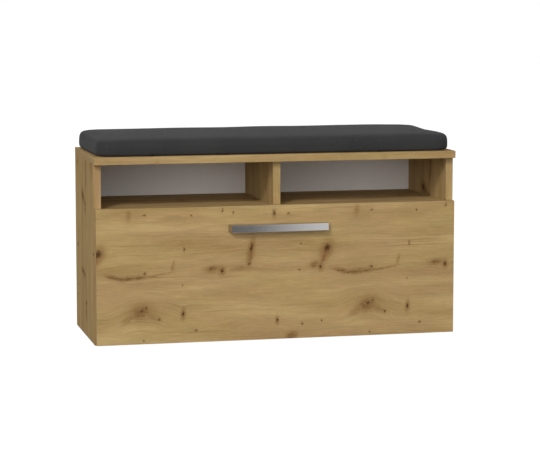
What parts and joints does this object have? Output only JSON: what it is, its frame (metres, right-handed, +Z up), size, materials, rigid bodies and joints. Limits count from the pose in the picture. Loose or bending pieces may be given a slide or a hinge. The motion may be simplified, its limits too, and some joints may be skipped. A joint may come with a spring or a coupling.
{
  "type": "entryway bench",
  "caption": "Low entryway bench of oak-look board: a padded seat cushion over open niches and a wide drawer on full-extension ball-bearing slides, with a bowed metal handle.",
  "frame": {"origin": "on the floor below the middle of the whole bench, handle included", "axes": "+X along the bench to the right as seen from the front, +Y from the front to the back, +Z up; the drawer opens towards -Y"},
  "size_m": [0.8, 0.322, 0.4453],
  "materials": {
    "oak_board": "oak-look laminate with knots and cracks, satin",
    "white_board": "white laminate, satin",
    "steel": "zinc-plated steel",
    "ball_steel": "polished balls in a plated retainer",
    "satin_metal": "satin nickel, fine lengthwise brushing",
    "cast_zinc": "bright die-cast zinc",
    "beech": "raw beech dowel",
    "fabric": "matte anthracite plain-weave upholstery fabric",
    "tape": "black hook-and-loop tape",
    "clear_rubber": "translucent silicone"
  },
  "bodies": {
    "root": {"back_panel": "white_board", "bottom_board": "oak_board", "cam_bottom_left_front": "cast_zinc", "cam_bottom_left_rear": "cast_zinc", "cam_bottom_right_front": "cast_zinc", "cam_bottom_right_rear": "cast_zinc", "cam_shelf_left_front": "cast_zinc", "cam_shelf_left_rear": "cast_zinc", "cam_shelf_right_front": "cast_zinc", "cam_shelf_right_rear": "cast_zinc", "cam_top_left_front": "cast_zinc", "cam_top_left_rear": "cast_zinc", "cam_top_right_front": "cast_zinc", "cam_top_right_rear": "cast_zinc", "hook_strip_left": "tape", "hook_strip_right": "tape", "loop_strip_left": "tape", "loop_strip_right": "tape", "niche_partition": "oak_board", "niche_shelf": "oak_board", "partition_dowel_front": "beech", "partition_dowel_rear": "beech", "partition_screw_front": "steel", "partition_screw_rear": "steel", "seat_cushion": "fabric", "side_panel_left": "oak_board", "side_panel_right": "oak_board", "slide_outer_left": "steel", "slide_outer_right": "steel", "top_board": "oak_board"},
    "drawer": {"bumper_left": "clear_rubber", "bumper_right": "clear_rubber", "cam_drawer_left_lower": "cast_zinc", "cam_drawer_left_upper": "cast_zinc", "cam_drawer_right_lower": "cast_zinc", "cam_drawer_right_upper": "cast_zinc", "drawer_back": "white_board", "drawer_bottom": "white_board", "drawer_front": "oak_board", "drawer_screw_left_lower": "steel", "drawer_screw_left_upper": "steel", "drawer_screw_right_lower": "steel", "drawer_screw_right_upper": "steel", "drawer_side_left": "white_board", "drawer_side_right": "white_board", "handle": "satin_metal", "handle_screw_left": "steel", "handle_screw_right": "steel", "slide_inner_left": "steel", "slide_inner_right": "steel"},
    "middle_left": {"slide_middle_left": "steel"},
    "middle_right": {"slide_middle_right": "steel"},
    "outer_cage_left": {"ball_cage_outer_left": "ball_steel"},
    "outer_cage_right": {"ball_cage_outer_right": "ball_steel"},
    "inner_cage_left": {"ball_cage_inner_left": "ball_steel"},
    "inner_cage_right": {"ball_cage_inner_right": "ball_steel"}
  },
  "joints": [
    {"name": "drawer_slide", "type": "slide", "parent": "root", "child": "drawer", "axis": [0, -1, 0], "range_m": [0, 0.25]},
    {"name": "middle_left_slide", "type": "slide", "parent": "root", "child": "middle_left", "axis": [0, -1, 0], "range_m": [0, 0.125]},
    {"name": "middle_right_slide", "type": "slide", "parent": "root", "child": "middle_right", "axis": [0, -1, 0], "range_m": [0, 0.125]},
    {"name": "outer_cage_left_slide", "type": "slide", "parent": "root", "child": "outer_cage_left", "axis": [0, -1, 0], "range_m": [0, 0.0625]},
    {"name": "outer_cage_right_slide", "type": "slide", "parent": "root", "child": "outer_cage_right", "axis": [0, -1, 0], "range_m": [0, 0.0625]},
    {"name": "inner_cage_left_slide", "type": "slide", "parent": "root", "child": "inner_cage_left", "axis": [0, -1, 0], "range_m": [0, 0.1875]},
    {"name": "inner_cage_right_slide", "type": "slide", "parent": "root", "child": "inner_cage_right", "axis": [0, -1, 0], "range_m": [0, 0.1875]}
  ],
  "couplings": [
    {"joint": "middle_left_slide", "follows": "drawer_slide", "ratio": 0.5},
    {"joint": "middle_right_slide", "follows": "drawer_slide", "ratio": 0.5},
    {"joint": "outer_cage_left_slide", "follows": "drawer_slide", "ratio": 0.25},
    {"joint": "outer_cage_right_slide", "follows": "drawer_slide", "ratio": 0.25},
    {"joint": "inner_cage_left_slide", "follows": "drawer_slide", "ratio": 0.75},
    {"joint": "inner_cage_right_slide", "follows": "drawer_slide", "ratio": 0.75}
  ]
}
